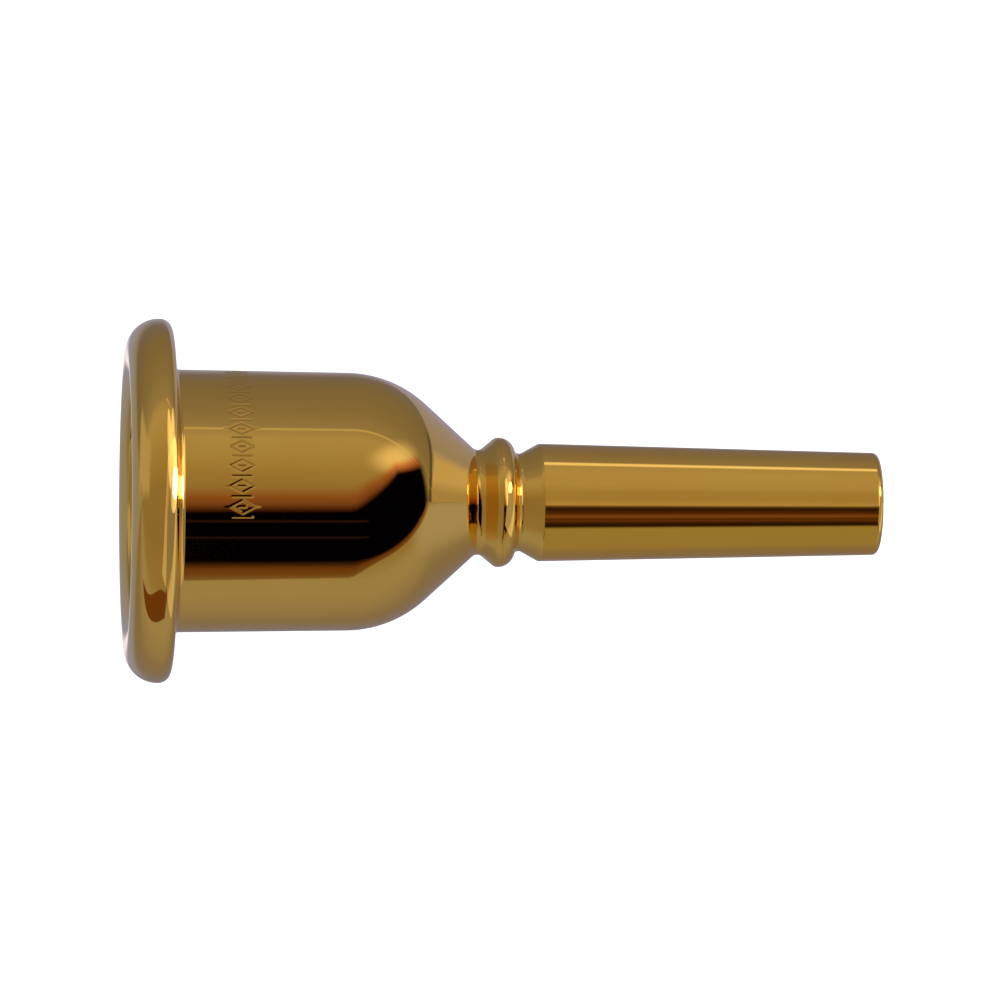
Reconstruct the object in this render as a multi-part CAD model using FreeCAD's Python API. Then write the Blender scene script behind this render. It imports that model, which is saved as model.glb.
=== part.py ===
import FreeCAD, Part
import math
import os

from FreeCAD import Vector

# Brass mouthpiece in three turned pieces: a rim that screws into a cup, and a cup that
# screws onto a shank. Millimetres. Every piece is turned about the X axis.
#
# Outlines are drawn as (depth, radius) pairs. Depth runs along the axis from the crown of
# the rim, where the lips rest, towards the small end of the shank. The finished pieces are
# moved so that the origin lies at the centre of the shank's end face, with +X pointing out
# of the shank into the instrument.

OVERALL_LENGTH = 81.0

# Rim
RIM_RADIUS = 19.46              # widest part
RIM_FRONT_ROUND = 3.45          # rounding from the crown out to the widest part
CROWN_ROUND = 5.0               # flatter rounding from the crown in towards the bite
BITE_RADIUS = 12.9              # inner edge
BITE_ROUND = 0.9                # rounding of the inner edge
RIM_BACK_EDGE_RADIUS = 1.3      # rounding of the edge behind the widest part
RIM_BACK_EDGE_DEPTH = 3.55      # centre of that rounding
RIM_FILLET = 0.55               # hollow fillet where the rim meets the cup
SEAT_DEPTH = 5.7                # face on which the rim sits on the cup

# Joint between rim and cup. Threads are drawn as plain cylinders with running clearance.
THREAD_CLEARANCE = 0.05
THREAD_RUNOUT = 0.2             # free space past the end of each threaded stub
THREAD_CHAMFER = 0.3
RIM_THREAD_RADIUS = 13.25
RIM_THREAD_LENGTH = 5.45
SPIGOT_MOUTH_RADIUS = 12.4      # inside of the rim's spigot at its free end

# Cup
CUP_RADIUS = 14.04              # outside, at the seat
CUP_TAPER_DEG = 0.75
SHOULDER_DEPTH = 23.7           # where the outside starts to curve in
SHOULDER_RADIUS = 12.65
CONE_DEG = 42.3
BOWL_MIDDLE = (21.6, 9.6)       # a point half way down the bowl
BOWL_BOTTOM = (28.4, 4.6)       # where the bowl turns into the throat
THROAT_RADIUS = 3.3
THROAT_START_DEPTH = 30.0
THROAT_LIP_DEPTH = 29.3         # middle of the curve from bowl to throat
THROAT_LIP_RADIUS = 3.78

# Neck between cup and shank, which is where they part
NECK_RADIUS = 5.64
NECK_GROOVE = 0.82              # radius of the groove's hollow
SHANK_THREAD_RADIUS = 4.7
SHANK_THREAD_LENGTH = 7.2

# Bead and second groove on the shank
BEAD_RADIUS = 6.95
BEAD_FRONT_ROUND = 1.0          # rounding of the crest on the cup's side
BEAD_FRONT_DEG = 40.0           # slope of the flank on the cup's side
BEAD_BACK_ROUND = 1.72          # rounding of the shank's side
SHANK_GROOVE_RADIUS = 5.25
SHANK_GROOVE = 0.6
COLLAR_DEG = 29.0               # slope from the groove up to the shank

# Shank
SHANK_START_RADIUS = 6.32
SHANK_END_RADIUS = 5.5
COLLAR_EDGE_ROUND = 0.7
SHANK_END_ROUND = 0.65
THROAT_END_DEPTH = 38.4
BACKBORE_END_RADIUS = 4.3


def arc(centre, radius, start_deg, end_deg):
    """Circular arc of an outline; angles are measured from +depth towards +radius."""
    def at(angle):
        x = centre[0] + radius * math.cos(math.radians(angle))
        y = centre[1] + radius * math.sin(math.radians(angle))
        return Vector(x, y, 0)
    return Part.Arc(at(start_deg), at((start_deg + end_deg) / 2), at(end_deg)).toShape()


def curve(start, middle, end):
    """Circular arc of an outline through three points."""
    points = [Vector(depth, radius, 0) for depth, radius in (start, middle, end)]
    return Part.Arc(*points).toShape()


def ends(piece):
    """First and last point of a point or an edge."""
    if isinstance(piece, tuple):
        point = Vector(piece[0], piece[1], 0)
        return point, point
    return piece.valueAt(piece.FirstParameter), piece.valueAt(piece.LastParameter)


def turned(pieces):
    """Solid of revolution about the axis; straight lines join one piece to the next."""
    edges = []
    for piece, following in zip(pieces, pieces[1:] + pieces[:1]):
        if not isinstance(piece, tuple):
            edges.append(piece)
        gap_start = ends(piece)[1]
        gap_end = ends(following)[0]
        if gap_start.distanceToPoint(gap_end) > 1e-6:
            edges.append(Part.LineSegment(gap_start, gap_end).toShape())
    outline = Part.Wire(Part.__sortEdges__(edges))
    solid = Part.Face(outline).revolve(Vector(0, 0, 0), Vector(1, 0, 0), 360)
    solid.translate(Vector(-OVERALL_LENGTH, 0, 0))
    return solid


def sine(angle):
    return math.sin(math.radians(angle))


def cosine(angle):
    return math.cos(math.radians(angle))


def tangent(angle):
    return math.tan(math.radians(angle))


def neck_groove_centre():
    """Centre of the neck's groove, which the cone of the cup runs into without a corner."""
    shoulder_r = CUP_RADIUS - (SHOULDER_DEPTH - SEAT_DEPTH) * tangent(CUP_TAPER_DEG)
    cone_start = SHOULDER_DEPTH + SHOULDER_RADIUS * (sine(CONE_DEG) - sine(CUP_TAPER_DEG))
    cone_start_r = shoulder_r + SHOULDER_RADIUS * (cosine(CONE_DEG) - cosine(CUP_TAPER_DEG))
    cone_end_r = NECK_RADIUS + NECK_GROOVE * (1 - cosine(CONE_DEG))
    cone_end = cone_start + (cone_start_r - cone_end_r) / tangent(CONE_DEG)
    return cone_end + NECK_GROOVE * sine(CONE_DEG), NECK_RADIUS + NECK_GROOVE


def bead_crest_depth():
    """Depth of the bead's crest, whose flank runs straight into the neck's groove."""
    both = NECK_GROOVE + BEAD_FRONT_ROUND
    rise = BEAD_RADIUS - NECK_RADIUS - both * (1 - cosine(BEAD_FRONT_DEG))
    span = both * sine(BEAD_FRONT_DEG) + rise / tangent(BEAD_FRONT_DEG)
    return neck_groove_centre()[0] + span


def shank_groove_centre():
    """Centre of the groove behind the bead, which touches the bead's back."""
    rise = SHANK_GROOVE_RADIUS + SHANK_GROOVE - (BEAD_RADIUS - BEAD_BACK_ROUND)
    span = math.sqrt((SHANK_GROOVE + BEAD_BACK_ROUND) ** 2 - rise ** 2)
    return bead_crest_depth() + span, SHANK_GROOVE_RADIUS + SHANK_GROOVE


def direction(start, end):
    """Angle of the line from one centre to another."""
    return math.degrees(math.atan2(end[1] - start[1], end[0] - start[0]))


def rounded_corner(before, corner, after, radius):
    """Arc that rounds the corner of two straight lines."""
    centre_way = Vector(corner[0], corner[1], 0)
    to_before = (Vector(before[0], before[1], 0) - centre_way).normalize()
    to_after = (Vector(after[0], after[1], 0) - centre_way).normalize()
    half_angle = to_before.getAngle(to_after) / 2
    start = centre_way + to_before * (radius / math.tan(half_angle))
    end = centre_way + to_after * (radius / math.tan(half_angle))
    bisector = (to_before + to_after).normalize()
    middle = centre_way + bisector * (radius / math.sin(half_angle) - radius)
    return Part.Arc(start, middle, end).toShape()


def make_rim():
    """Rim with the male thread that goes down into the cup.

    The back face is a straight slope that touches the rounding of the edge and the fillet.
    """
    crown_r = RIM_RADIUS - RIM_FRONT_ROUND
    bite_centre_r = BITE_RADIUS + BITE_ROUND
    crown_sweep = math.degrees(math.asin((crown_r - bite_centre_r) / (CROWN_ROUND - BITE_ROUND)))
    bite_depth = CROWN_ROUND - (CROWN_ROUND - BITE_ROUND) * cosine(crown_sweep)
    back_round = (RIM_BACK_EDGE_DEPTH, RIM_RADIUS - RIM_BACK_EDGE_RADIUS)
    fillet = (SEAT_DEPTH, CUP_RADIUS + RIM_FILLET)
    both_radii = RIM_BACK_EDGE_RADIUS + RIM_FILLET
    lean = math.degrees(math.acos(both_radii / math.dist(back_round, fillet)))
    back_slope = direction(back_round, fillet) + lean
    spigot_end = SEAT_DEPTH + RIM_THREAD_LENGTH
    return turned([
        arc((RIM_FRONT_ROUND, crown_r), RIM_FRONT_ROUND, 90, 180),
        arc((CROWN_ROUND, crown_r), CROWN_ROUND, 180, 180 + crown_sweep),
        arc((bite_depth, bite_centre_r), BITE_ROUND, 180 + crown_sweep, 270),
        (spigot_end, SPIGOT_MOUTH_RADIUS),
        (spigot_end, RIM_THREAD_RADIUS - THREAD_CHAMFER),
        (spigot_end - THREAD_CHAMFER, RIM_THREAD_RADIUS),
        (SEAT_DEPTH, RIM_THREAD_RADIUS),
        arc(fillet, RIM_FILLET, 270, 180 + back_slope),
        arc(back_round, RIM_BACK_EDGE_RADIUS, back_slope, 90),
    ])


def make_cup():
    """Bowl, open at both ends: the rim's thread above, the shank's thread below."""
    shoulder_r = CUP_RADIUS - (SHOULDER_DEPTH - SEAT_DEPTH) * tangent(CUP_TAPER_DEG)
    shoulder = (
        SHOULDER_DEPTH - SHOULDER_RADIUS * sine(CUP_TAPER_DEG),
        shoulder_r - SHOULDER_RADIUS * cosine(CUP_TAPER_DEG),
    )
    neck = neck_groove_centre()
    rim_socket_r = RIM_THREAD_RADIUS + THREAD_CLEARANCE
    rim_socket_end = SEAT_DEPTH + RIM_THREAD_LENGTH + THREAD_RUNOUT
    shank_socket_r = SHANK_THREAD_RADIUS + THREAD_CLEARANCE
    shank_socket_start = neck[0] - SHANK_THREAD_LENGTH - THREAD_RUNOUT
    return turned([
        (SEAT_DEPTH, CUP_RADIUS),
        arc(shoulder, SHOULDER_RADIUS, 90 - CUP_TAPER_DEG, 90 - CONE_DEG),
        arc(neck, NECK_GROOVE, 270 - CONE_DEG, 270),
        (neck[0], shank_socket_r),
        (shank_socket_start, shank_socket_r),
        (shank_socket_start, THROAT_RADIUS),
        curve(
            (THROAT_START_DEPTH, THROAT_RADIUS),
            (THROAT_LIP_DEPTH, THROAT_LIP_RADIUS),
            BOWL_BOTTOM,
        ),
        curve(BOWL_BOTTOM, BOWL_MIDDLE, (rim_socket_end, SPIGOT_MOUTH_RADIUS)),
        (rim_socket_end, rim_socket_r),
        (SEAT_DEPTH, rim_socket_r),
    ])


def make_shank():
    """Threaded stub, bead, groove and tapered shank, with the throat and backbore."""
    neck = neck_groove_centre()
    crest = bead_crest_depth()
    bead_front = (crest, BEAD_RADIUS - BEAD_FRONT_ROUND)
    bead_back = (crest, BEAD_RADIUS - BEAD_BACK_ROUND)
    groove = shank_groove_centre()
    to_groove = direction(bead_back, groove)
    slope_start = (
        groove[0] + SHANK_GROOVE * sine(COLLAR_DEG),
        groove[1] - SHANK_GROOVE * cosine(COLLAR_DEG),
    )
    shank_start = slope_start[0] + (SHANK_START_RADIUS - slope_start[1]) / tangent(COLLAR_DEG)
    collar = (shank_start, SHANK_START_RADIUS)
    shank_end = (OVERALL_LENGTH, SHANK_END_RADIUS)
    stub_end = neck[0] - SHANK_THREAD_LENGTH
    return turned([
        (stub_end + THREAD_CHAMFER, SHANK_THREAD_RADIUS),
        (neck[0], SHANK_THREAD_RADIUS),
        arc(neck, NECK_GROOVE, 270, 270 + BEAD_FRONT_DEG),
        arc(bead_front, BEAD_FRONT_ROUND, 90 + BEAD_FRONT_DEG, 90),
        arc(bead_back, BEAD_BACK_ROUND, 90, to_groove),
        arc(groove, SHANK_GROOVE, 180 + to_groove, 270 + COLLAR_DEG),
        rounded_corner(slope_start, collar, shank_end, COLLAR_EDGE_ROUND),
        rounded_corner(collar, shank_end, (OVERALL_LENGTH, BACKBORE_END_RADIUS), SHANK_END_ROUND),
        (OVERALL_LENGTH, BACKBORE_END_RADIUS),
        (THROAT_END_DEPTH, THROAT_RADIUS),
        (stub_end, THROAT_RADIUS),
        (stub_end, SHANK_THREAD_RADIUS - THREAD_CHAMFER),
    ])


def main():
    os.makedirs("parts", exist_ok=True)
    pieces = {"rim": make_rim(), "cup": make_cup(), "shank": make_shank()}
    for name, shape in pieces.items():
        box = shape.BoundBox
        print(name, shape.ShapeType, shape.isValid(), round(shape.Volume, 1),
              "x", round(box.XMin, 2), round(box.XMax, 2), "r", round(box.ZMax, 2))
        shape.exportStep(f"parts/{name}.step")


main()
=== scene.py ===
import math

import bmesh
import bpy
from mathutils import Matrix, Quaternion, Vector


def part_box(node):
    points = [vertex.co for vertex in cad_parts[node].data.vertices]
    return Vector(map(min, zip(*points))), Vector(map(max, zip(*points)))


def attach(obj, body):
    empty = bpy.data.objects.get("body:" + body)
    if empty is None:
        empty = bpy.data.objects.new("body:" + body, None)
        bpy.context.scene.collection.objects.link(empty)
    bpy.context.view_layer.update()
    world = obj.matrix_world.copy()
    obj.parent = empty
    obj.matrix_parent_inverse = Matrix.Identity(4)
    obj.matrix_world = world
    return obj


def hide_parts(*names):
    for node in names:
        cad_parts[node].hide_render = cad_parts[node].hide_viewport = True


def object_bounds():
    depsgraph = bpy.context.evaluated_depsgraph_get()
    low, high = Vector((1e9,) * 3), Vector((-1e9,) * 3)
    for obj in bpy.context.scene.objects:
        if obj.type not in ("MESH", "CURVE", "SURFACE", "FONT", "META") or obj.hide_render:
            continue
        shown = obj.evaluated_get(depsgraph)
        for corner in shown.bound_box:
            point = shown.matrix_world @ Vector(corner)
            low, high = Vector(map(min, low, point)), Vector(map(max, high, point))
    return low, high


# Gold-plated brass mouthpiece in three turned pieces: rim, cup and shank.
# Outlines are (depth, radius) pairs in millimetres, as in the CAD source. Depth runs along
# the axis from the crown of the rim towards the small end of the shank.

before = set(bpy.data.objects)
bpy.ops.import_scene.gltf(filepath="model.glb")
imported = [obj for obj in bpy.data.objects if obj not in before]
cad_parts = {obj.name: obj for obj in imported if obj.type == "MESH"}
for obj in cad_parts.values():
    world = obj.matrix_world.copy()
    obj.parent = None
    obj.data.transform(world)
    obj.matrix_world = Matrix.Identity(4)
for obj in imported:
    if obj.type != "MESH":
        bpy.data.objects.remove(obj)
cad_low, cad_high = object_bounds()

MM = 0.001
OVERALL_LENGTH = (cad_high.x - cad_low.x) / MM

# Rim
RIM_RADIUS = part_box("rim")[1].z / MM
RIM_FRONT_ROUND = 3.45
CROWN_ROUND = 5.0
BITE_RADIUS = 12.9
BITE_ROUND = 0.9
RIM_BACK_EDGE_RADIUS = 1.3
RIM_BACK_EDGE_DEPTH = 3.55
RIM_FILLET = 0.55
SEAT_DEPTH = 5.7

# Threads
THREAD_CLEARANCE = 0.05
THREAD_RUNOUT = 0.2
THREAD_CHAMFER = 0.3
THREAD_PITCH = 0.8
THREAD_HEIGHT = 0.3
THREAD_FLAT = 0.15
RIM_THREAD_RADIUS = 13.25
RIM_THREAD_LENGTH = 5.45
SPIGOT_MOUTH_RADIUS = 12.4
SHANK_THREAD_RADIUS = 4.7
SHANK_THREAD_LENGTH = 7.2

# Cup
CUP_RADIUS = 14.04
CUP_TAPER_DEG = 0.75
SHOULDER_DEPTH = 23.7
SHOULDER_RADIUS = 12.65
CONE_DEG = 42.3
BOWL_MIDDLE = (21.6, 9.6)
BOWL_BOTTOM = (28.4, 4.6)
THROAT_RADIUS = 3.3
THROAT_START_DEPTH = 30.0
THROAT_LIP = (29.3, 3.78)

# Neck, bead and groove
NECK_RADIUS = 5.64
NECK_GROOVE = 0.82
BEAD_RADIUS = 6.95
BEAD_FRONT_ROUND = 1.0
BEAD_FRONT_DEG = 40.0
BEAD_BACK_ROUND = 1.72
SHANK_GROOVE_RADIUS = 5.25
SHANK_GROOVE = 0.6
COLLAR_DEG = 29.0

# Shank
SHANK_START_RADIUS = 6.32
SHANK_END_RADIUS = 5.5
COLLAR_EDGE_ROUND = 0.7
SHANK_END_ROUND = 0.65
THROAT_END_DEPTH = 38.4
BACKBORE_END_RADIUS = 4.3

# Engraved border round the cup
BORDER_DEPTH = 11.67
BORDER_HEIGHT = 2.84
BORDER_FROM_DEG = -7.0
BORDER_TO_DEG = 101.0
BORDER_MOTIFS = 12
ENGRAVING_WIDTH = 0.13
ENGRAVING_DEPTH = 0.05
LOZENGE_SHARE = 0.62
STROKE_SHARE = 0.3
BAR_SHARE = 0.8
MIDDLE_OF_CUP_WALL = 13.6

# Fineness of the meshes
ARC_STEP_DEG = 3.0
SHARP_EDGE_DEG = 32.0
STRAIGHT_STEP = 0.7
THREAD_STEP = THREAD_PITCH / 5
COLUMN_DEG = 1.5
FINE_COLUMN_DEG = 0.34
BACK_COLUMN_DEG = 2.4
BORDER_STEP = 0.08
NEAR = 1e-4


def sine(angle):
    return math.sin(math.radians(angle))


def cosine(angle):
    return math.cos(math.radians(angle))


def tangent(angle):
    return math.tan(math.radians(angle))


def smooth(value, low, high):
    """0 below low, 1 above high, with a smooth rise between."""
    t = min(max((value - low) / (high - low), 0.0), 1.0)
    return t * t * (3 - 2 * t)


# Outlines ---------------------------------------------------------------------------------


def arc(centre, radius, start_deg, end_deg):
    """Points of an arc; angles are measured from +depth towards +radius."""
    count = max(4, math.ceil(abs(end_deg - start_deg) / ARC_STEP_DEG))
    angles = [start_deg + (end_deg - start_deg) * i / count for i in range(count + 1)]
    return [(centre[0] + radius * cosine(a), centre[1] + radius * sine(a)) for a in angles]


def curve(start, middle, end):
    """Points of the arc through three points."""
    (ax, ay), (bx, by), (cx, cy) = start, middle, end
    d = 2 * (ax * (by - cy) + bx * (cy - ay) + cx * (ay - by))
    a2, b2, c2 = ax * ax + ay * ay, bx * bx + by * by, cx * cx + cy * cy
    centre = (
        (a2 * (by - cy) + b2 * (cy - ay) + c2 * (ay - by)) / d,
        (a2 * (cx - bx) + b2 * (ax - cx) + c2 * (bx - ax)) / d,
    )
    first = direction(centre, start)
    sweep = (direction(centre, end) - first + 180) % 360 - 180
    return arc(centre, math.dist(centre, start), first, first + sweep)


def direction(start, end):
    return math.degrees(math.atan2(end[1] - start[1], end[0] - start[0]))


def rounded_corner(before, corner, after, radius):
    """Arc that rounds the corner of two straight lines."""
    corner_point = Vector(corner)
    to_before = (Vector(before) - corner_point).normalized()
    to_after = (Vector(after) - corner_point).normalized()
    half = to_before.angle(to_after) / 2
    centre = corner_point + (to_before + to_after).normalized() * (radius / math.sin(half))
    start = corner_point + to_before * (radius / math.tan(half))
    end = corner_point + to_after * (radius / math.tan(half))
    middle = centre + (corner_point - centre).normalized() * radius
    return curve(tuple(start), tuple(middle), tuple(end))


def straight(start, end, step):
    """Points between two ends, without them."""
    count = max(1, math.ceil(math.dist(start, end) / step))
    return [
        tuple(a + (b - a) * i / count for a, b in zip(start, end)) for i in range(1, count)
    ]


def outline(parts, steps=()):
    """Closed outline from points and arcs. steps says where straight runs are divided finely."""
    points = []
    for part in parts:
        for point in [part] if isinstance(part, tuple) else part:
            if not points or math.dist(points[-1], point) > NEAR:
                points.append(point)
    if math.dist(points[0], points[-1]) < NEAR:
        points.pop()
    closed = []
    for start, end in zip(points, points[1:] + points[:1]):
        middle = ((start[0] + end[0]) / 2, (start[1] + end[1]) / 2)
        step = STRAIGHT_STEP
        for wanted, fine_step in steps:
            if wanted(*middle):
                step = fine_step
        closed.append(start)
        closed.extend(straight(start, end, step))
    return closed


def neck_groove_centre():
    shoulder_r = CUP_RADIUS - (SHOULDER_DEPTH - SEAT_DEPTH) * tangent(CUP_TAPER_DEG)
    cone_start = SHOULDER_DEPTH + SHOULDER_RADIUS * (sine(CONE_DEG) - sine(CUP_TAPER_DEG))
    cone_start_r = shoulder_r + SHOULDER_RADIUS * (cosine(CONE_DEG) - cosine(CUP_TAPER_DEG))
    cone_end_r = NECK_RADIUS + NECK_GROOVE * (1 - cosine(CONE_DEG))
    cone_end = cone_start + (cone_start_r - cone_end_r) / tangent(CONE_DEG)
    return cone_end + NECK_GROOVE * sine(CONE_DEG), NECK_RADIUS + NECK_GROOVE


def bead_crest_depth():
    both = NECK_GROOVE + BEAD_FRONT_ROUND
    rise = BEAD_RADIUS - NECK_RADIUS - both * (1 - cosine(BEAD_FRONT_DEG))
    span = both * sine(BEAD_FRONT_DEG) + rise / tangent(BEAD_FRONT_DEG)
    return neck_groove_centre()[0] + span


def shank_groove_centre():
    rise = SHANK_GROOVE_RADIUS + SHANK_GROOVE - (BEAD_RADIUS - BEAD_BACK_ROUND)
    span = math.sqrt((SHANK_GROOVE + BEAD_BACK_ROUND) ** 2 - rise ** 2)
    return bead_crest_depth() + span, SHANK_GROOVE_RADIUS + SHANK_GROOVE


def on_rim_spigot(depth, radius):
    return abs(radius - RIM_THREAD_RADIUS) < NEAR


def on_rim_socket(depth, radius):
    return abs(radius - RIM_THREAD_RADIUS - THREAD_CLEARANCE) < NEAR


def on_shank_stub(depth, radius):
    return abs(radius - SHANK_THREAD_RADIUS) < NEAR


def on_shank_socket(depth, radius):
    return abs(radius - SHANK_THREAD_RADIUS - THREAD_CLEARANCE) < NEAR


def rim_outline():
    crown_r = RIM_RADIUS - RIM_FRONT_ROUND
    bite_r = BITE_RADIUS + BITE_ROUND
    sweep = math.degrees(math.asin((crown_r - bite_r) / (CROWN_ROUND - BITE_ROUND)))
    bite_depth = CROWN_ROUND - (CROWN_ROUND - BITE_ROUND) * cosine(sweep)
    back_round = (RIM_BACK_EDGE_DEPTH, RIM_RADIUS - RIM_BACK_EDGE_RADIUS)
    fillet = (SEAT_DEPTH, CUP_RADIUS + RIM_FILLET)
    both_radii = RIM_BACK_EDGE_RADIUS + RIM_FILLET
    lean = math.degrees(math.acos(both_radii / math.dist(back_round, fillet)))
    back_slope = direction(back_round, fillet) + lean
    spigot_end = SEAT_DEPTH + RIM_THREAD_LENGTH
    parts = [
        arc((RIM_FRONT_ROUND, crown_r), RIM_FRONT_ROUND, 90, 180),
        arc((CROWN_ROUND, crown_r), CROWN_ROUND, 180, 180 + sweep),
        arc((bite_depth, bite_r), BITE_ROUND, 180 + sweep, 270),
        (spigot_end, SPIGOT_MOUTH_RADIUS),
        (spigot_end, RIM_THREAD_RADIUS - THREAD_CHAMFER),
        (spigot_end - THREAD_CHAMFER, RIM_THREAD_RADIUS),
        (SEAT_DEPTH, RIM_THREAD_RADIUS),
        arc(fillet, RIM_FILLET, 270, 180 + back_slope),
        arc(back_round, RIM_BACK_EDGE_RADIUS, back_slope, 90),
    ]
    return outline(parts, [(on_rim_spigot, THREAD_STEP)])


def on_border(depth, radius):
    return SEAT_DEPTH < depth < SHOULDER_DEPTH and radius > MIDDLE_OF_CUP_WALL


def cup_outline():
    shoulder_r = CUP_RADIUS - (SHOULDER_DEPTH - SEAT_DEPTH) * tangent(CUP_TAPER_DEG)
    shoulder = (
        SHOULDER_DEPTH - SHOULDER_RADIUS * sine(CUP_TAPER_DEG),
        shoulder_r - SHOULDER_RADIUS * cosine(CUP_TAPER_DEG),
    )
    neck = neck_groove_centre()
    rim_socket_r = RIM_THREAD_RADIUS + THREAD_CLEARANCE
    rim_socket_end = SEAT_DEPTH + RIM_THREAD_LENGTH + THREAD_RUNOUT
    shank_socket_r = SHANK_THREAD_RADIUS + THREAD_CLEARANCE
    shank_socket_start = neck[0] - SHANK_THREAD_LENGTH - THREAD_RUNOUT
    border = [
        (depth, CUP_RADIUS - (depth - SEAT_DEPTH) * tangent(CUP_TAPER_DEG))
        for depth in (BORDER_DEPTH - BORDER_HEIGHT / 2, BORDER_DEPTH + BORDER_HEIGHT / 2)
    ]
    parts = [
        (SEAT_DEPTH, CUP_RADIUS),
        border[0],
        straight(border[0], border[1], BORDER_STEP),
        border[1],
        arc(shoulder, SHOULDER_RADIUS, 90 - CUP_TAPER_DEG, 90 - CONE_DEG),
        arc(neck, NECK_GROOVE, 270 - CONE_DEG, 270),
        (neck[0], shank_socket_r),
        (shank_socket_start, shank_socket_r),
        (shank_socket_start, THROAT_RADIUS),
        curve((THROAT_START_DEPTH, THROAT_RADIUS), THROAT_LIP, BOWL_BOTTOM),
        curve(BOWL_BOTTOM, BOWL_MIDDLE, (rim_socket_end, SPIGOT_MOUTH_RADIUS)),
        (rim_socket_end, rim_socket_r),
        (SEAT_DEPTH, rim_socket_r),
    ]
    return outline(parts, [(on_rim_socket, THREAD_STEP), (on_shank_socket, THREAD_STEP)])


def shank_outline():
    neck = neck_groove_centre()
    crest = bead_crest_depth()
    bead_front = (crest, BEAD_RADIUS - BEAD_FRONT_ROUND)
    bead_back = (crest, BEAD_RADIUS - BEAD_BACK_ROUND)
    groove = shank_groove_centre()
    to_groove = direction(bead_back, groove)
    slope_start = (
        groove[0] + SHANK_GROOVE * sine(COLLAR_DEG),
        groove[1] - SHANK_GROOVE * cosine(COLLAR_DEG),
    )
    shank_start = slope_start[0] + (SHANK_START_RADIUS - slope_start[1]) / tangent(COLLAR_DEG)
    collar = (shank_start, SHANK_START_RADIUS)
    end = (OVERALL_LENGTH, SHANK_END_RADIUS)
    bore_end = (OVERALL_LENGTH, BACKBORE_END_RADIUS)
    stub_end = neck[0] - SHANK_THREAD_LENGTH
    parts = [
        (stub_end + THREAD_CHAMFER, SHANK_THREAD_RADIUS),
        (neck[0], SHANK_THREAD_RADIUS),
        arc(neck, NECK_GROOVE, 270, 270 + BEAD_FRONT_DEG),
        arc(bead_front, BEAD_FRONT_ROUND, 90 + BEAD_FRONT_DEG, 90),
        arc(bead_back, BEAD_BACK_ROUND, 90, to_groove),
        arc(groove, SHANK_GROOVE, 180 + to_groove, 270 + COLLAR_DEG),
        rounded_corner(slope_start, collar, end, COLLAR_EDGE_ROUND),
        rounded_corner(collar, end, bore_end, SHANK_END_ROUND),
        bore_end,
        (THROAT_END_DEPTH, THROAT_RADIUS),
        (stub_end, THROAT_RADIUS),
        (stub_end, SHANK_THREAD_RADIUS - THREAD_CHAMFER),
    ]
    return outline(parts, [(on_shank_stub, THREAD_STEP)])


# Surface detail ---------------------------------------------------------------------------


def thread_cut(depth, angle_deg, start, end):
    """Depth of a single-start thread's groove, fading out at both ends."""
    turn = (depth / THREAD_PITCH - angle_deg / 360) % 1
    flank = 1 - abs(2 * turn - 1)
    fade = smooth(depth, start, start + THREAD_PITCH) * smooth(-depth, -end, THREAD_PITCH - end)
    cut = (flank - THREAD_FLAT) / (1 - 2 * THREAD_FLAT)
    return THREAD_HEIGHT * min(max(cut, 0.0), 1.0) * fade


def segment_distance(point, start, end):
    """Distance from a point to a straight stroke."""
    along = Vector(end) - Vector(start)
    offset = Vector(point) - Vector(start)
    share = min(max(offset.dot(along) / along.length_squared, 0.0), 1.0)
    return (offset - along * share).length


def border_cut(depth, angle_deg):
    """Share of the engraving's depth: lozenges with a stroke in them and bars between them."""
    if not BORDER_FROM_DEG < angle_deg < BORDER_TO_DEG:
        return 0.0
    pitch_deg = (BORDER_TO_DEG - BORDER_FROM_DEG) / BORDER_MOTIFS
    place = ((angle_deg - BORDER_FROM_DEG) / pitch_deg) % 1 - 0.5
    half_pitch = math.radians(pitch_deg) * CUP_RADIUS / 2
    across = abs(place * 2 * half_pitch)
    along = abs(depth - BORDER_DEPTH)
    half_height = BORDER_HEIGHT / 2 - ENGRAVING_WIDTH
    point = (across, along)
    lozenge = segment_distance(point, (half_pitch * LOZENGE_SHARE, 0.0), (0.0, half_height))
    stroke = segment_distance(point, (0.0, 0.0), (0.0, half_height * STROKE_SHARE))
    bar = segment_distance(point, (half_pitch, 0.0), (half_pitch, half_height * BAR_SHARE))
    return 1 - smooth(min(lozenge, stroke, bar), ENGRAVING_WIDTH * 0.2, ENGRAVING_WIDTH)


def rim_detail(depth, radius, angle_deg):
    """Change of radius, engraving and machining at a point of the rim's surface."""
    if on_rim_spigot(depth, radius):
        cut = thread_cut(depth, angle_deg, SEAT_DEPTH, SEAT_DEPTH + RIM_THREAD_LENGTH)
        return -cut, 0.0, 1.0
    machined = float(SEAT_DEPTH + NEAR < depth and radius < RIM_THREAD_RADIUS + NEAR)
    return 0.0, 0.0, machined


def cup_detail(depth, radius, angle_deg):
    if on_rim_socket(depth, radius):
        end = SEAT_DEPTH + RIM_THREAD_LENGTH
        return thread_cut(depth, angle_deg, SEAT_DEPTH, end), 0.0, 1.0
    if on_shank_socket(depth, radius):
        end = neck_groove_centre()[0]
        return thread_cut(depth, angle_deg, end - SHANK_THREAD_LENGTH, end), 0.0, 1.0
    if on_border(depth, radius):
        share = border_cut(depth, angle_deg)
        return -share * ENGRAVING_DEPTH, share, 0.0
    return 0.0, 0.0, 0.0


def shank_detail(depth, radius, angle_deg):
    if on_shank_stub(depth, radius):
        end = neck_groove_centre()[0]
        return -thread_cut(depth, angle_deg, end - SHANK_THREAD_LENGTH, end), 0.0, 1.0
    return 0.0, 0.0, float(radius < BACKBORE_END_RADIUS + NEAR)


# Meshes -----------------------------------------------------------------------------------


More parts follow.
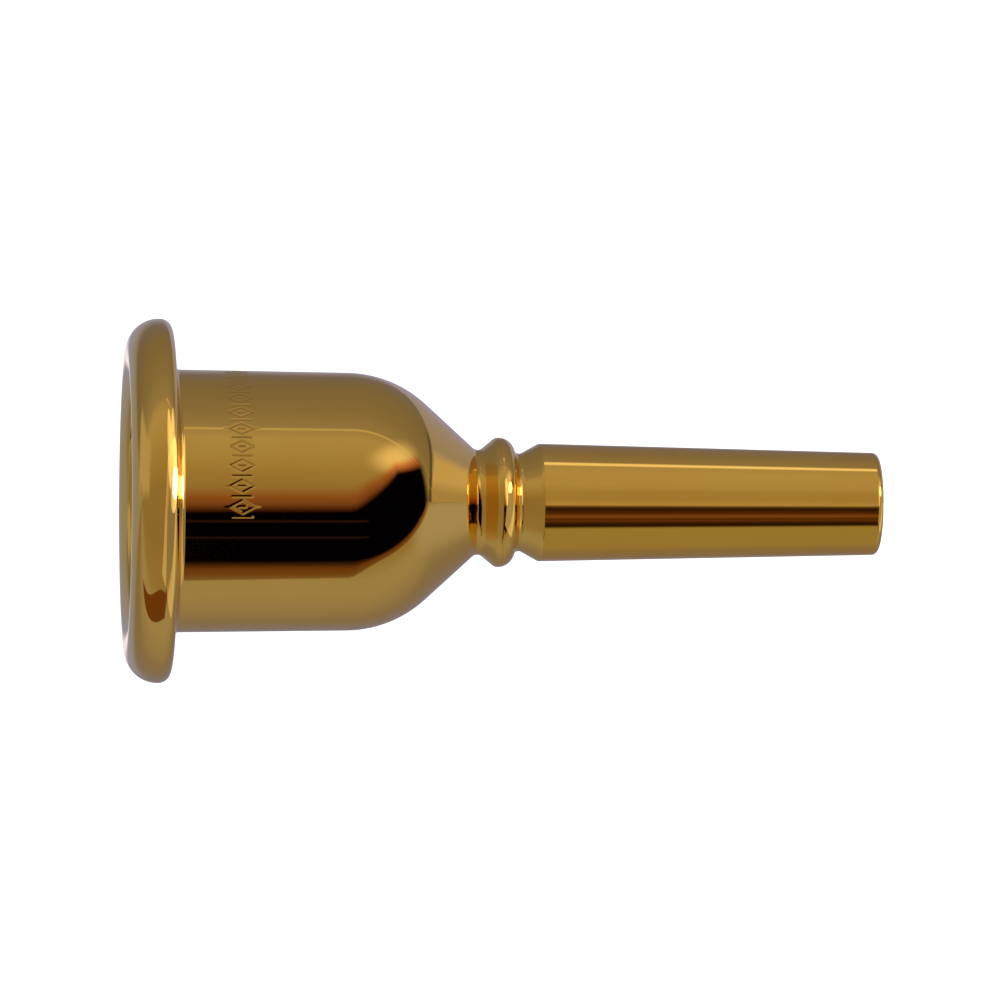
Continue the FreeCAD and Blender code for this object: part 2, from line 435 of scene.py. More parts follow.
def even_columns():
    count = round(360 / COLUMN_DEG)
    return [360 * i / count for i in range(count)]


def cup_columns():
    """Columns that lie close together where the border is engraved."""
    start = BORDER_FROM_DEG - 1
    end = BORDER_TO_DEG + 1
    fine = math.ceil((end - start) / FINE_COLUMN_DEG)
    coarse = math.ceil((360 - end + start) / BACK_COLUMN_DEG)
    columns = [start + (end - start) * i / fine for i in range(fine)]
    return columns + [end + (360 + start - end) * i / coarse for i in range(coarse)]


def turned(name, points, columns, detail):
    """Ring of revolution about X. Column angles run from the front (-Y) up towards +Z."""
    verts = []
    engraved = []
    machined = []
    for depth, radius in points:
        for angle in columns:
            change, engraving, machining = detail(depth, radius, angle)
            r = (radius + change) * MM
            x = (depth - OVERALL_LENGTH) * MM + cad_high.x
            verts.append((x, -r * cosine(angle), r * sine(angle)))
            engraved.append(engraving)
            machined.append(machining)
    n, m = len(points), len(columns)
    faces = [
        (i * m + j, i * m + (j + 1) % m, (i + 1) % n * m + (j + 1) % m, (i + 1) % n * m + j)
        for i in range(n)
        for j in range(m)
    ]
    mesh = bpy.data.meshes.new(name)
    mesh.from_pydata(verts, [], faces)
    for label, values in (("engraved", engraved), ("machined", machined)):
        attribute = mesh.attributes.new(label, "FLOAT", "POINT")
        attribute.data.foreach_set("value", values)
    face_outwards(mesh)
    mesh.shade_smooth()
    mesh.set_sharp_from_angle(angle=math.radians(SHARP_EDGE_DEG))
    piece = bpy.data.objects.new(name, mesh)
    bpy.context.scene.collection.objects.link(piece)
    return piece


def face_outwards(mesh):
    work = bmesh.new()
    work.from_mesh(mesh)
    bmesh.ops.recalc_face_normals(work, faces=work.faces)
    work.to_mesh(mesh)
    work.free()


# Materials --------------------------------------------------------------------------------


def node(tree, kind, inputs=None, **settings):
    """New shader node. Inputs are keyed by socket name or number; sockets get linked."""
    made = tree.nodes.new("ShaderNode" + kind)
    for key, value in settings.items():
        setattr(made, key, value)
    for key, value in (inputs or {}).items():
        if isinstance(value, bpy.types.NodeSocket):
            tree.links.new(value, made.inputs[key])
        else:
            made.inputs[key].default_value = value
    return made


def calc(tree, operation, *values):
    made = node(tree, "Math", dict(enumerate(values)), operation=operation)
    return made.outputs[0]


def rise(tree, value, low, high):
    """Smooth step of a value from 0 at low to 1 at high."""
    inputs = {0: value, 1: low, 2: high, 3: 0.0, 4: 1.0}
    return node(tree, "MapRange", inputs, interpolation_type="SMOOTHSTEP").outputs[0]


def blended(tree, share, first, second):
    inputs = {0: share, 6: first, 7: second}
    return node(tree, "Mix", inputs, data_type="RGBA").outputs[2]


def bumped(tree, height, distance, normal=None):
    inputs = {"Height": height, "Distance": distance, "Strength": 1.0}
    if normal is not None:
        inputs["Normal"] = normal
    return node(tree, "Bump", inputs).outputs[0]


GOLD = (0.95, 0.62, 0.135, 1.0)
RED_GOLD = (0.90, 0.54, 0.10, 1.0)
# Painted shade: a dark brown that is mixed into the colour of the engraved lines.
ENGRAVED_SHADE = (0.42, 0.2, 0.06, 1.0)
RED_GOLD_SHARE = 0.35
ENGRAVED_SHADE_SHARE = 0.4

# Fineness of the surface's patterns: how many grains fit in a metre.
TURNING_MARKS = 7000.0
RIPPLES = 330.0
SMUDGES = 90.0
HAIRLINE_GRAIN = (9000.0, 260.0, 260.0)
HAIRLINE_SHARE = 0.3
HAIRLINE_TURNS = ((0.0, 0.5, 0.3), (0.4, -0.2, 1.2))

# Roughness of the clean polish, and what each kind of wear and work adds to it.
POLISH_ROUGH = 0.022
SMUDGE_ROUGH = 0.02
HAIRLINE_ROUGH = 0.035
ENGRAVED_ROUGH = 0.1
MACHINED_ROUGH = 0.2

# Heights of the relief in metres. Machined surfaces have much deeper turning marks.
RIPPLE_HEIGHT = 2.0e-6
MARK_HEIGHT = 2.0e-7
HAIRLINE_DEPTH = 2.0e-7
MACHINED_MARKS = 4.0


def streaks(tree, coords, turn, share):
    """Sparse hairlines that run along one direction."""
    inputs = {"Vector": coords, "Rotation": turn, "Scale": HAIRLINE_GRAIN}
    mapped = node(tree, "Mapping", inputs).outputs[0]
    noise = node(tree, "TexNoise", {"Vector": mapped, "Scale": 1.0, "Detail": 1.0})
    return rise(tree, noise.outputs[0], 1 - share, 1.0 - share / 3)


def gold_plate():
    """Polished gold plate with faint turning marks, hairlines and handling smudges."""
    material = bpy.data.materials.new("gold_plate")
    material.use_nodes = True
    tree = material.node_tree
    shader = tree.nodes["Principled BSDF"]
    coords = node(tree, "TexCoord").outputs["Object"]
    engraved = node(tree, "Attribute", attribute_name="engraved").outputs["Fac"]
    machined = node(tree, "Attribute", attribute_name="machined").outputs["Fac"]

    split = node(tree, "SeparateXYZ", {0: coords})
    along = calc(tree, "MULTIPLY", split.outputs[0], TURNING_MARKS)
    marks = node(
        tree, "TexNoise", {"W": along, "Scale": 1.0, "Detail": 2.0}, noise_dimensions="1D"
    ).outputs[0]
    ripple = node(tree, "TexNoise", {"Vector": coords, "Scale": RIPPLES, "Detail": 1.0}).outputs[0]
    smudge = node(tree, "TexNoise", {"Vector": coords, "Scale": SMUDGES, "Detail": 5.0}).outputs[0]
    first, second = [streaks(tree, coords, turn, HAIRLINE_SHARE) for turn in HAIRLINE_TURNS]
    hairs = calc(tree, "MAXIMUM", first, second)

    warmth = rise(tree, smudge, 0.35, 0.75)
    colour = blended(tree, calc(tree, "MULTIPLY", warmth, RED_GOLD_SHARE), GOLD, RED_GOLD)
    # Painted shade: the colour of the engraved lines is darkened towards brown.
    engraved_shade = calc(tree, "MULTIPLY", engraved, ENGRAVED_SHADE_SHARE)
    colour = blended(tree, engraved_shade, colour, ENGRAVED_SHADE)
    tree.links.new(colour, shader.inputs["Base Color"])

    smudged = rise(tree, smudge, 0.4, 0.7)
    rough = calc(tree, "MULTIPLY_ADD", smudged, SMUDGE_ROUGH, POLISH_ROUGH)
    rough = calc(tree, "MULTIPLY_ADD", hairs, HAIRLINE_ROUGH, rough)
    rough = calc(tree, "MULTIPLY_ADD", engraved, ENGRAVED_ROUGH, rough)
    rough = calc(tree, "MULTIPLY_ADD", machined, MACHINED_ROUGH, rough)
    tree.links.new(rough, shader.inputs["Roughness"])

    mark_height = calc(tree, "MULTIPLY_ADD", machined, MACHINED_MARKS, 1.0)
    mark_height = calc(tree, "MULTIPLY", mark_height, marks)
    normal = bumped(tree, ripple, RIPPLE_HEIGHT)
    normal = bumped(tree, mark_height, MARK_HEIGHT, normal)
    normal = bumped(tree, calc(tree, "MULTIPLY", hairs, -1.0), HAIRLINE_DEPTH, normal)
    tree.links.new(normal, shader.inputs["Normal"])
    shader.inputs["Metallic"].default_value = 1.0
    return material


FLOOR_WHITE = (0.88, 0.88, 0.88, 1.0)
FLOOR_WHITER = (0.92, 0.92, 0.92, 1.0)
FLOOR_GRAIN = 12.0
FLOOR_RELIEF = 1.0e-4


def floor_paint():
    """Matt white studio floor with the faintest unevenness."""
    material = bpy.data.materials.new("studio_white")
    material.use_nodes = True
    tree = material.node_tree
    shader = tree.nodes["Principled BSDF"]
    coords = node(tree, "TexCoord").outputs["Object"]
    inputs = {"Vector": coords, "Scale": FLOOR_GRAIN, "Detail": 4.0}
    noise = node(tree, "TexNoise", inputs).outputs[0]
    tree.links.new(blended(tree, noise, FLOOR_WHITE, FLOOR_WHITER), shader.inputs["Base Color"])
    tree.links.new(bumped(tree, noise, FLOOR_RELIEF), shader.inputs["Normal"])
    shader.inputs["Roughness"].default_value = 0.9
    shader.inputs["Specular IOR Level"].default_value = 0.0
    return material


# Studio -----------------------------------------------------------------------------------

# What the polished metal mirrors: a white light tent, open in front below eye level, with a
# bright window behind on the right. Brightness is relative to a white wall in full light.
# Directions are given by three angles in degrees: the turn about the mouthpiece's axis (0 in
# front, 90 overhead, 180 behind), the bearing (0 in front, 90 to the right, past the shank,
# 180 behind) and the elevation above the horizon.

WALLS = (
    (-180, (1.00, 1.00, 1.00)),
    (-174, (0.27, 0.28, 0.36)),
    (-163, (0.23, 0.24, 0.30)),
    (-150, (0.235, 0.24, 0.30)),
    (-133, (0.25, 0.25, 0.28)),
    (-113, (0.31, 0.32, 0.35)),
    (-92, (0.355, 0.37, 0.38)),
    (-76, (0.35, 0.365, 0.375)),
    (-60, (0.30, 0.28, 0.21)),
    (-25, (0.285, 0.245, 0.18)),
    (9, (0.295, 0.255, 0.18)),
    (23, (0.345, 0.305, 0.205)),
    (45, (0.42, 0.395, 0.315)),
    (58, (0.435, 0.415, 0.36)),
    (65, (0.38, 0.36, 0.32)),
    (69, (0.31, 0.31, 0.32)),
    (90, (0.25, 0.25, 0.265)),
    (130, (0.205, 0.21, 0.22)),
    (147, (0.185, 0.19, 0.27)),
    (156, (0.25, 0.28, 0.37)),
    (167, (0.33, 0.37, 0.48)),
    (174, (0.35, 0.39, 0.50)),
    (180, (1.00, 1.00, 1.00)),
)

# What a sleeve of paper round the shank adds, going round it in the same way.
SHANK_WALLS = (
    (-180, (1.00, 1.00, 1.00)),
    (-165, (0.28, 0.28, 0.34)),
    (-135, (0.23, 0.225, 0.25)),
    (-110, (0.27, 0.25, 0.22)),
    (-95, (0.32, 0.30, 0.19)),
    (-51, (0.33, 0.31, 0.18)),
    (-48, (0.20, 0.16, 0.08)),
    (-46, (0.02, 0.012, 0.006)),
    (-40, (0.03, 0.012, 0.005)),
    (-34, (0.12, 0.05, 0.015)),
    (-32, (0.06, 0.025, 0.01)),
    (-26, (0.21, 0.09, 0.03)),
    (-20, (0.08, 0.03, 0.01)),
    (-11, (0.02, 0.012, 0.006)),
    (-7, (0.12, 0.08, 0.04)),
    (-4, (0.46, 0.40, 0.26)),
    (6, (0.38, 0.33, 0.20)),
    (20, (0.38, 0.34, 0.21)),
    (32, (0.44, 0.41, 0.30)),
    (58, (0.46, 0.43, 0.33)),
    (74, (0.42, 0.40, 0.32)),
    (76, (0.95, 0.95, 0.90)),
    (80, (1.00, 1.00, 0.95)),
    (83, (0.29, 0.28, 0.27)),
    (110, (0.235, 0.23, 0.26)),
    (145, (0.20, 0.20, 0.26)),
    (165, (0.32, 0.34, 0.45)),
    (180, (1.00, 1.00, 1.00)),
)

# The dark opening. Its left end is a share of the way along X and its right end a bearing. Its
# top and foot are elevations that slope up to the right. The two lists give the share of the
# wall's colour that is left at each angle outside the top and the foot.
DARK_LEFT = 0.055
DARK_LEFT_SOFT = 0.008
DARK_RIGHT = 83.0
DARK_RIGHT_SOFT = 5.0
DARK_TOP_AT_FRONT = -10.5
DARK_TOP_SLOPE = 0.66
DARK_TOP_HIGHEST = 23.0
DARK_FOOT_AT_FRONT = -56.0
DARK_FOOT_SLOPE = 0.164
DARK_FOOT_BEND = 8.2e-5

# Bearings between which the soft top and foot edges get thinner, and how many times thinner.
TOP_EDGE_THINS = (20.0, 60.0, 2.2)
FOOT_EDGE_THINS = (15.0, 45.0, 2.4)
TOP_EDGE = (
    (-3, (0.001, 0.0, 0.0)),
    (0, (0.22, 0.09, 0.06)),
    (5, (0.65, 0.34, 0.27)),
    (10, (0.90, 0.45, 0.32)),
    (15, (0.97, 0.74, 0.62)),
    (20, (1.0, 1.0, 1.0)),
)
FOOT_EDGE = (
    (-1, (0.001, 0.0, 0.0)),
    (3, (0.15, 0.08, 0.04)),
    (7, (0.46, 0.21, 0.10)),
    (14, (0.53, 0.30, 0.16)),
    (19, (0.62, 0.44, 0.35)),
    (22, (1.0, 1.0, 1.0)),
)
BACKDROP = (1.3, 1.3, 1.3, 1.0)
# The studio light holds this much of each colour.
LIGHT_TINT = (1.0, 0.92, 1.0)


def degrees(tree, operation, *values):
    return calc(tree, "MULTIPLY", calc(tree, operation, *values), 180 / math.pi)


def both(tree, *shares):
    """Share of a direction that lies in every one of several soft regions."""
    found = shares[0]
    for share in shares[1:]:
        found = calc(tree, "MULTIPLY", found, share)
    return found


def between(tree, value, low, high, soft):
    return both(
        tree, rise(tree, value, low - soft, low + soft), rise(tree, value, high + soft, high - soft)
    )


def ramp(tree, value, stops):
    """Colour by value; stops are pairs of value and colour."""
    low, high = stops[0][0], stops[-1][0]
    place = node(tree, "MapRange", {0: value, 1: low, 2: high, 3: 0.0, 4: 1.0}).outputs[0]
    made = node(tree, "ValToRGB", {0: place})
    elements = made.color_ramp.elements
    for i, (at, colour) in enumerate(stops):
        stop = elements[i] if i < 2 else elements.new((at - low) / (high - low))
        stop.position = (at - low) / (high - low)
        stop.color = (*colour, 1.0)
    return made.outputs[0]


def inverse(tree, colour):
    return node(tree, "Invert", {0: 1.0, 1: colour}).outputs[0]


def times(tree, first, second):
    inputs = {0: 1.0, 6: first, 7: second}
    return node(tree, "Mix", inputs, data_type="RGBA", blend_type="MULTIPLY").outputs[2]


def ellipse(tree, bearing, elevation, middle, size, soft):
    """Soft ellipse of directions; middle and size are (bearing, elevation) pairs."""
    across = calc(tree, "DIVIDE", calc(tree, "SUBTRACT", bearing, middle[0]), size[0])
    up = calc(tree, "DIVIDE", calc(tree, "SUBTRACT", elevation, middle[1]), size[1])
    distance = calc(
        tree, "SQRT", calc(tree, "ADD", calc(tree, "POWER", across, 2.0), calc(tree, "POWER", up, 2.0))
    )
    return rise(tree, distance, 1 + soft, 1 - soft), distance


def thinned(tree, bearing, edge_thins):
    start, end, times_thinner = edge_thins
    inputs = {0: bearing, 1: start, 2: end, 3: 1.0, 4: times_thinner}
    return node(tree, "MapRange", inputs).outputs[0]


def dark_opening(tree, walls, x, bearing, elevation):
    """Walls with the dark opening in them."""
    right = calc(tree, "MAXIMUM", bearing, 0.0)
    top = calc(tree, "MULTIPLY_ADD", bearing, DARK_TOP_SLOPE, DARK_TOP_AT_FRONT)
    top = calc(tree, "MINIMUM", top, DARK_TOP_HIGHEST)
    foot = calc(tree, "MULTIPLY_ADD", bearing, DARK_FOOT_SLOPE, DARK_FOOT_AT_FRONT)
    foot = calc(tree, "MULTIPLY_ADD", calc(tree, "POWER", right, 3.0), DARK_FOOT_BEND, foot)
    above = calc(tree, "SUBTRACT", elevation, top)
    above = calc(tree, "MULTIPLY", above, thinned(tree, bearing, TOP_EDGE_THINS))
    below = calc(tree, "SUBTRACT", foot, elevation)
    below = calc(tree, "MULTIPLY", below, thinned(tree, bearing, FOOT_EDGE_THINS))
    darkness = times(
        tree, inverse(tree, ramp(tree, above, TOP_EDGE)), inverse(tree, ramp(tree, below, FOOT_EDGE))
    )
    inside = both(
        tree,
        rise(tree, x, DARK_LEFT - DARK_LEFT_SOFT, DARK_LEFT + DARK_LEFT_SOFT),
        rise(tree, bearing, DARK_RIGHT + DARK_RIGHT_SOFT, DARK_RIGHT - DARK_RIGHT_SOFT),
    )
    darkness = blended(tree, inside, (0.0, 0.0, 0.0, 1.0), darkness)
    return times(tree, walls, inverse(tree, darkness))


END_WALL_COLOUR = (0.40, 0.43, 0.52, 1.0)

# Bright arch behind on the right, with a dark frame: (bearing, elevation) of its middle and its
# half width and height.
ARCH_MIDDLE = (132.0, 0.0)
ARCH_SIZE = (46.0, 33.0)
ARCH_BACK_COLOUR = (0.34, 0.37, 0.60, 1.0)
ARCH_LOW_COLOUR = (0.40, 0.37, 0.30, 1.0)
ARCH_HIGH_COLOUR = (0.58, 0.55, 0.47, 1.0)
ARCH_FRAME_COLOUR = (0.10, 0.10, 0.12, 1.0)

ROOF_GAP_TURNS = (66.0, 68.0)
ROOF_GAP_COLOUR = (0.56, 0.54, 0.48, 1.0)
DUSK_TURNS = (150.0, 168.0)
DUSK_COLOUR = (0.30, 0.36, 0.50, 1.0)

SPOT_MIDDLE = (53.0, 35.0)
SPOT_SIZE = (22.0, 9.0)
SPOT_COLOUR = (0.84, 0.82, 0.78, 1.0)
GLOW_BEARINGS = (-106.0, -60.0)
GLOW_ELEVATIONS = (3.0, 29.0)
GLOW_COLOUR = (0.47, 0.46, 0.46, 1.0)

# Two faint lines of light within the dark opening, by turn.
GLEAM_TURNS = ((-19.0, -17.5), (-33.0, -31.5))
GLEAM_COLOUR = (0.02, 0.012, 0.008, 1.0)

# Amber patch low on the left: share of the way along X, and turn, which bends along X.
AMBER_MIDDLE = (-0.33, -69.5)
AMBER_SIZE = (0.54, 13.0)
AMBER_BEND = 36.0
AMBER_COLOUR = (0.15, 0.062, 0.02, 1.0)


def add_end_wall(tree, tent, x, elevation):
    """Pale wall at the shank's end, below the horizon."""
    low = both(tree, rise(tree, x, 0.80, 0.97), rise(tree, elevation, 2.0, -4.0))
    return blended(tree, low, tent, END_WALL_COLOUR)


def add_arch(tree, tent, bearing, elevation):
    arch, distance = ellipse(tree, bearing, elevation, ARCH_MIDDLE, ARCH_SIZE, 0.03)
    upper = rise(tree, elevation, -1.0, 1.0)
    high = rise(tree, elevation, 4.0, 15.0)
    near = blended(tree, high, ARCH_LOW_COLOUR, ARCH_HIGH_COLOUR)
    inside = blended(tree, rise(tree, bearing, 112.0, 100.0), ARCH_BACK_COLOUR, near)
    tent = blended(tree, both(tree, arch, upper), tent, inside)
    edge = between(tree, distance, 0.99, 1.05, 0.02)
    framed = both(tree, edge, upper, rise(tree, bearing, 130.0, 110.0))
    return blended(tree, framed, tent, ARCH_FRAME_COLOUR)


def add_roof_gap(tree, tent, x, turn):
    """Bright gap in the roof, which the rim does not mirror."""
    gap = both(tree, between(tree, turn, *ROOF_GAP_TURNS, 0.8), rise(tree, x, 0.05, 0.07))
    return blended(tree, gap, tent, ROOF_GAP_COLOUR)


def add_dusk(tree, tent, x, turn):
    """Grey dusk behind on the left."""
    behind = rise(tree, calc(tree, "ABSOLUTE", turn), *DUSK_TURNS)
    return blended(tree, both(tree, behind, rise(tree, x, -0.05, -0.2)), tent, DUSK_COLOUR)


def add_spot_and_glow(tree, tent, bearing, elevation):
    """Bright spot above the dark opening, and a glow on the left of the rim."""
    spot = ellipse(tree, bearing, elevation, SPOT_MIDDLE, SPOT_SIZE, 0.8)[0]
    tent = blended(tree, spot, tent, SPOT_COLOUR)
    across = between(tree, bearing, *GLOW_BEARINGS, 5.0)
    up = between(tree, elevation, *GLOW_ELEVATIONS, 4.0)
    return blended(tree, both(tree, across, up), tent, GLOW_COLOUR)


def add_gleams(tree, tent, x, turn):
    first, second = [between(tree, turn, *turns, 1.0) for turns in GLEAM_TURNS]
    gleams = calc(tree, "MAXIMUM", first, second)
    gleams = both(tree, gleams, between(tree, x, DARK_LEFT, 0.3, 0.03))
    return blended(tree, gleams, tent, GLEAM_COLOUR)


def add_amber_patch(tree, tent, x, turn):
    curved = calc(tree, "MULTIPLY_ADD", calc(tree, "POWER", x, 2.0), AMBER_BEND, turn)
    amber = ellipse(tree, x, curved, AMBER_MIDDLE, AMBER_SIZE, 0.04)[0]
    amber = both(tree, amber, rise(tree, x, DARK_LEFT + 0.01, DARK_LEFT - 0.01))
    return blended(tree, amber, tent, AMBER_COLOUR)


def make_tent(tree):
    """Colour that the metal mirrors in each direction."""
    way = node(tree, "TexCoord").outputs["Generated"]
    x, y, z = node(tree, "SeparateXYZ", {0: way}).outputs
    forward = calc(tree, "MULTIPLY", y, -1.0)
    turn = degrees(tree, "ARCTAN2", z, forward)
    bearing = degrees(tree, "ARCTAN2", x, forward)
    elevation = degrees(tree, "ARCSINE", z)
    tent = ramp(tree, turn, WALLS)
    tent = add_end_wall(tree, tent, x, elevation)
    tent = add_arch(tree, tent, bearing, elevation)
    tent = add_roof_gap(tree, tent, x, turn)
    tent = add_dusk(tree, tent, x, turn)
    tent = add_spot_and_glow(tree, tent, bearing, elevation)
    tent = dark_opening(tree, tent, x, bearing, elevation)
    tent = add_gleams(tree, tent, x, turn)
    tent = add_amber_patch(tree, tent, x, turn)
    return times(tree, tent, (*LIGHT_TINT, 1.0))


def make_world():
    """White backdrop, and a light tent that only the metal's reflections see."""
    world = bpy.data.worlds.new("studio")
    bpy.context.scene.world = world
    world.use_nodes = True
    tree = world.node_tree
    tent = make_tent(tree)
    is_glossy = node(tree, "LightPath").outputs["Is Glossy Ray"]
    colour = blended(tree, is_glossy, BACKDROP, tent)
    tree.links.new(colour, tree.nodes["Background"].inputs["Color"])
    world.cycles.sampling_method = "NONE"


FLOOR_DROP = 0.08
FLOOR_RINGS = (0.2, 0.6, 2.0, 8.0)


def make_floor():
    """Wide round floor, well below the mouthpiece."""
    sides = 96
    work = bmesh.new()
    middle = work.verts.new((0, 0, 0))
    previous = None
    for radius in FLOOR_RINGS:
        ring = [
            work.verts.new((radius * cosine(360 * i / sides), radius * sine(360 * i / sides), 0))
            for i in range(sides)
        ]
        for i in range(sides):
            following = (i + 1) % sides
            if previous is None:
                work.faces.new((middle, ring[i], ring[following]))
            else:
                work.faces.new((previous[i], ring[i], ring[following], previous[following]))
        previous = ring
    mesh = bpy.data.meshes.new("floor")
    work.to_mesh(mesh)
    work.free()
    floor = bpy.data.objects.new("floor", mesh)
    bpy.context.scene.collection.objects.link(floor)
    floor.location = ((cad_low.x + cad_high.x) / 2, 0, -FLOOR_DROP)
    floor.data.materials.append(floor_paint())
    floor.visible_glossy = False


SOFTBOX_SIZE = 1.2
SOFTBOX_WATTS = 12.0
SOFTBOX_HEIGHT = 1.6


def make_softbox():
    """Large soft light overhead, for the floor."""
    light = bpy.data.lights.new("softbox", "AREA")
    light.shape = "DISK"
    light.size = SOFTBOX_SIZE
    light.energy = SOFTBOX_WATTS
    softbox = bpy.data.objects.new("softbox", light)
    bpy.context.scene.collection.objects.link(softbox)
    softbox.location = (0, 0, SOFTBOX_HEIGHT)
    softbox.visible_glossy = False
    softbox.visible_camera = False


# Small lamps close to the mouthpiece that put highlights in its hollows. Each is an ellipse
# that faces the rim: depth along the axis, then its span in Y and in Z, all in millimetres,
# the brightness that the metal mirrors, and the width of its beam in degrees.
NEAR_LAMPS = (
    ("rim_hot", 17.0, (-28.0, -14.6), (0.3, 6.3), 3.6, 90.0),
    ("rim_halo", 17.5, (-46.0, -14.0), (-3.0, 15.0), 0.5, 130.0),
)

# Large soft lamps for one piece each: the piece, the shape, the bearing and the elevation of
# the middle, the angular width and height in degrees, and the brightness that the metal mirrors.
FAR_LAMPS = (
    ("rim_fill", "rim", "RECTANGLE", 45.0, -15.0, 94.0, 94.0, 0.27),
    ("rim_top", "rim", "ELLIPSE", 26.0, 32.0, 33.0, 50.0, 0.6),
    ("rim_side", "rim", "ELLIPSE", 68.0, 24.0, 43.0, 40.0, 0.5),
    ("rim_hot_side", "rim", "ELLIPSE", 66.0, 8.0, 42.0, 13.0, 3.0),
    ("shank_fill", "shank", "RECTANGLE", 56.0, -14.0, 66.0, 66.0, 0.42),
    ("bead_hot", "shank", "ELLIPSE", 54.0, 22.0, 33.0, 17.0, 3.0),
    ("neck_glow", "shank", "ELLIPSE", 24.0, 18.0, 20.0, 48.0, 0.8),
)
FAR_LAMP_DISTANCE = 400.0


def add_lamp(name, shape, width, height, brightness):
    light = bpy.data.lights.new(name, "AREA")
    light.shape = shape
    light.size = width * MM
    light.size_y = height * MM
    filled = math.pi / 4 if shape == "ELLIPSE" else 1.0
    light.energy = brightness * math.pi * light.size * light.size_y * filled
    light.color = LIGHT_TINT
    lamp = bpy.data.objects.new(name, light)
    bpy.context.scene.collection.objects.link(lamp)
    lamp.visible_camera = False
    lamp.visible_diffuse = False
    return lamp


def make_near_lamps():
    for name, depth, across, height, brightness, beam in NEAR_LAMPS:
        width, length = height[1] - height[0], across[1] - across[0]
        lamp = add_lamp(name, "ELLIPSE", width, length, brightness)
        lamp.data.spread = math.radians(beam)
        x = cad_high.x + (depth - OVERALL_LENGTH) * MM
        lamp.location = (x, sum(across) / 2 * MM, sum(height) / 2 * MM)
        lamp.rotation_euler = (0, math.radians(90), 0)


def make_far_lamps(pieces):
    for name, target, shape, bearing, elevation, width, height, brightness in FAR_LAMPS:
        across = 2 * FAR_LAMP_DISTANCE * tangent(width / 2)
        up = 2 * FAR_LAMP_DISTANCE * tangent(height / 2)
        lamp = add_lamp(name, shape, across, up, brightness)
        way = Vector(
            (
                sine(bearing) * cosine(elevation),
                -cosine(bearing) * cosine(elevation),
                sine(elevation),
            )
        )
        piece = pieces[target]
        middle = Vector(((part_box(target)[0].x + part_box(target)[1].x) / 2, 0, 0))
        lamp.location = middle + way * FAR_LAMP_DISTANCE * MM
        lamp.rotation_mode = "QUATERNION"
        lamp.rotation_quaternion = way.to_track_quat("Z", "Y")
        only = bpy.data.collections.new(name + "_only")
        only.objects.link(piece)
        lamp.light_linking.receiver_collection = only


# Two thin sheets of glowing paper, turned about the axis, that only the metal mirrors. Each has
# two (depth, radius) ends and a span of turns in degrees. The sleeve stands round the shank and
# only shows where it is met squarely. The card stands below the cup and only shows its right
# side, to the bead and the collar.
SLEEVE_ENDS = ((48.0, 50.0), (94.0, 50.0))
SLEEVE_TURNS = (0.0, 360.0)
SLEEVE_ANGLE_DEG = 15.5
CARD_ENDS = ((26.0, 16.0), (26.0, 300.0))
CARD_TURNS = (-103.0, -50.0)
SHEET_STEP_DEG = 3.75


def paper(name, walls, clear_share):
    """Glowing paper; clear_share makes the socket that says where it is clear."""
    material = bpy.data.materials.new(name)
    material.use_nodes = True
    tree = material.node_tree
    tree.nodes.remove(tree.nodes["Principled BSDF"])
    coords = node(tree, "TexCoord").outputs["Object"]
    x, y, z = node(tree, "SeparateXYZ", {0: coords}).outputs
    turn = degrees(tree, "ARCTAN2", z, calc(tree, "MULTIPLY", y, -1.0))
    colour = times(tree, ramp(tree, turn, walls), (*LIGHT_TINT, 1.0))
    glow = node(tree, "Emission", {"Color": colour, "Strength": 1.0})
    clear = node(tree, "BsdfTransparent")
    shares = {0: clear_share(tree), 1: glow.outputs[0], 2: clear.outputs[0]}
    shown = node(tree, "MixShader", shares)
    tree.links.new(shown.outputs[0], tree.nodes["Material Output"].inputs["Surface"])
    return material


def slanting(tree):
    facing = node(tree, "LayerWeight", {"Blend": 0.5}).outputs["Facing"]
    limit = 1 - cosine(SLEEVE_ANGLE_DEG)
    return rise(tree, facing, limit * 0.9, limit)


def seen_from_behind(tree):
    return node(tree, "NewGeometry").outputs["Backfacing"]


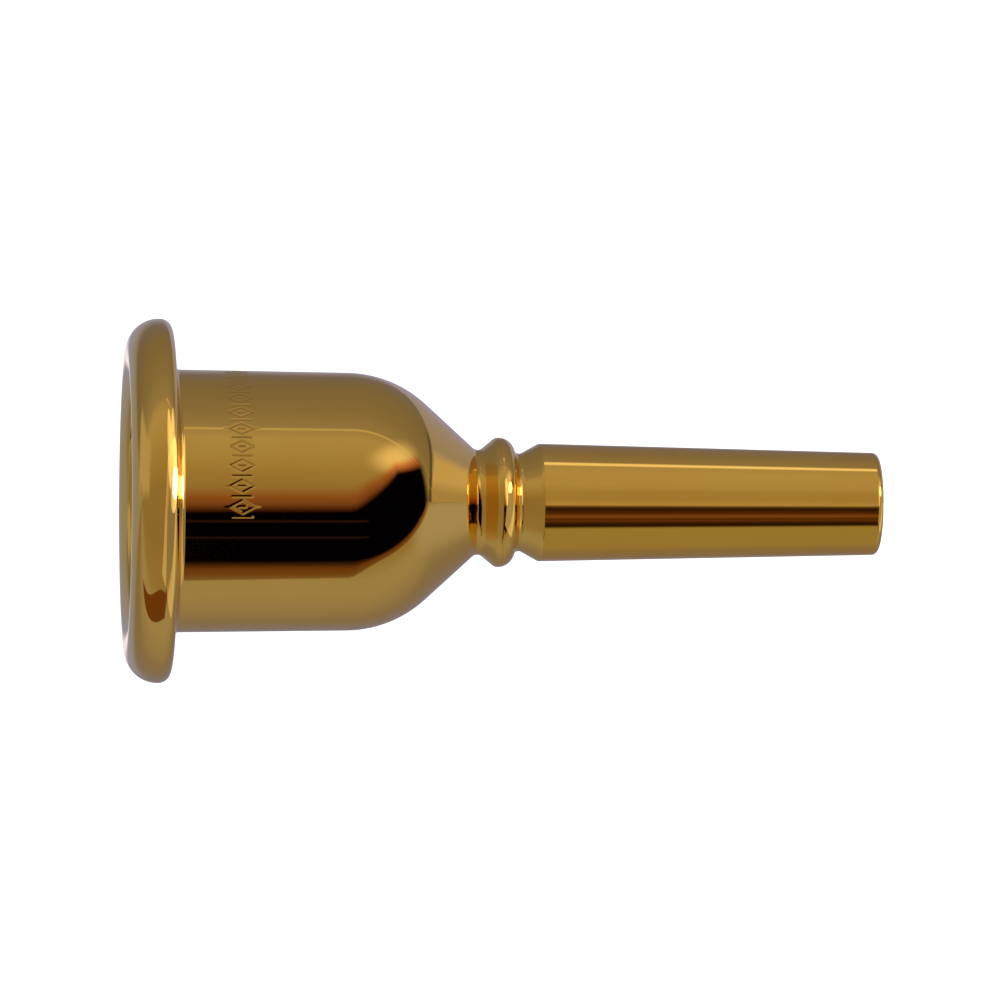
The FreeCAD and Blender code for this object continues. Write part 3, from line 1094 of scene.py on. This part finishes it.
def make_sheet(name, ends, turns, material):
    work = bmesh.new()
    sides = math.ceil((turns[1] - turns[0]) / SHEET_STEP_DEG)
    angles = [turns[0] + (turns[1] - turns[0]) * i / sides for i in range(sides + 1)]
    rings = []
    for depth, radius in ends:
        x = cad_high.x + (depth - OVERALL_LENGTH) * MM
        r = radius * MM
        rings.append([work.verts.new((x, -r * cosine(a), r * sine(a))) for a in angles])
    for i in range(sides):
        work.faces.new((rings[0][i], rings[0][i + 1], rings[1][i + 1], rings[1][i]))
    mesh = bpy.data.meshes.new(name)
    work.to_mesh(mesh)
    work.free()
    mesh.shade_smooth()
    sheet = bpy.data.objects.new(name, mesh)
    bpy.context.scene.collection.objects.link(sheet)
    sheet.data.materials.append(material)
    sheet.visible_camera = False
    sheet.visible_diffuse = False
    sheet.visible_shadow = False


def make_sheets():
    sleeve = paper("sleeve_paper", SHANK_WALLS, slanting)
    make_sheet("sleeve", SLEEVE_ENDS, SLEEVE_TURNS, sleeve)
    card = paper("card_paper", WALLS, seen_from_behind)
    make_sheet("card", CARD_ENDS, CARD_TURNS, card)


CAMERA_DISTANCE = 0.775
CAMERA_YAW_DEG = -5.5
CAMERA_ROLL_DEG = 0.25
CAMERA_AIM = Vector((cad_high.x - 0.04083, 0, 0.00025))
CAMERA_LENS = 260.1
CAMERA_SENSOR = 36.0


def make_camera():
    camera_data = bpy.data.cameras.new("camera")
    camera_data.lens = CAMERA_LENS
    camera_data.sensor_width = CAMERA_SENSOR
    camera_data.clip_start = 0.01
    camera = bpy.data.objects.new("camera", camera_data)
    bpy.context.scene.collection.objects.link(camera)
    back = Vector((sine(CAMERA_YAW_DEG), -cosine(CAMERA_YAW_DEG), 0))
    camera.location = CAMERA_AIM + back * CAMERA_DISTANCE
    level = (-back).to_track_quat("-Z", "Y")
    camera.rotation_mode = "QUATERNION"
    roll = Quaternion((0, 0, 1), math.radians(CAMERA_ROLL_DEG))
    camera.rotation_quaternion = level @ roll
    bpy.context.scene.camera = camera


def make_mouthpiece():
    gold = gold_plate()
    pieces = (
        ("rim", rim_outline(), even_columns(), rim_detail),
        ("cup", cup_outline(), cup_columns(), cup_detail),
        ("shank", shank_outline(), even_columns(), shank_detail),
    )
    made = {}
    for name, points, columns, detail in pieces:
        piece = turned(name + "_turned", points, columns, detail)
        piece.data.materials.append(gold)
        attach(piece, name)
        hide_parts(name)
        made[name] = piece
    return made


mouthpiece = make_mouthpiece()
make_world()
make_floor()
make_softbox()
make_near_lamps()
make_far_lamps(mouthpiece)
make_sheets()
make_camera()
bpy.context.scene.view_settings.view_transform = "Standard"
